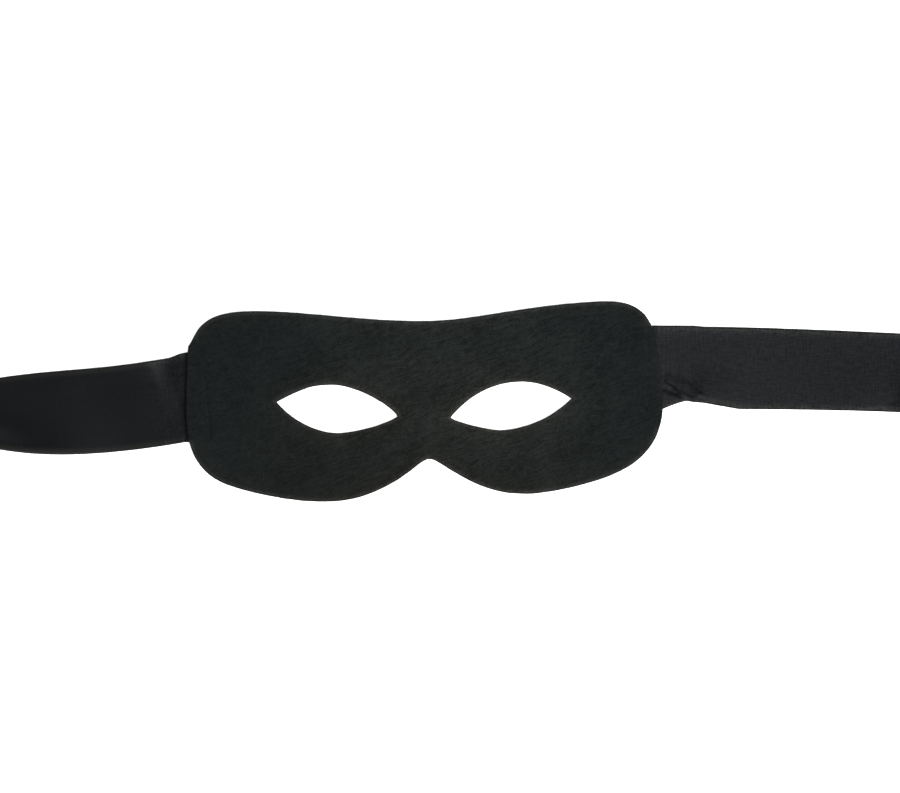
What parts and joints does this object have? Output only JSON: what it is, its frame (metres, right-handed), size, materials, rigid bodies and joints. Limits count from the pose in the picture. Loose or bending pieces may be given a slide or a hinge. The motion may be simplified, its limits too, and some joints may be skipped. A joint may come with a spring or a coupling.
{
  "type": "bandit mask",
  "caption": "Plain black felt eye mask with almond eye holes and a nose notch, and a woven tie sewn behind each side.",
  "frame": {"origin": "on the felt's underside, in the middle of its outline, between the eye holes", "axes": "+X to the right of someone looking at the mask's face, +Y to the brow, +Z out of the face; the mask lies on its back, face up"},
  "size_m": [0.4952, 0.1029, 0.032],
  "materials": {
    "felt": "matt pressed felt with a short fibre",
    "tie_cloth": "finely woven cloth with a slight sheen",
    "thread": "twisted sewing thread"
  },
  "bodies": {
    "root": {"felt_mask": "felt", "left_tie": "tie_cloth", "right_tie": "tie_cloth"}
  },
  "joints": []
}
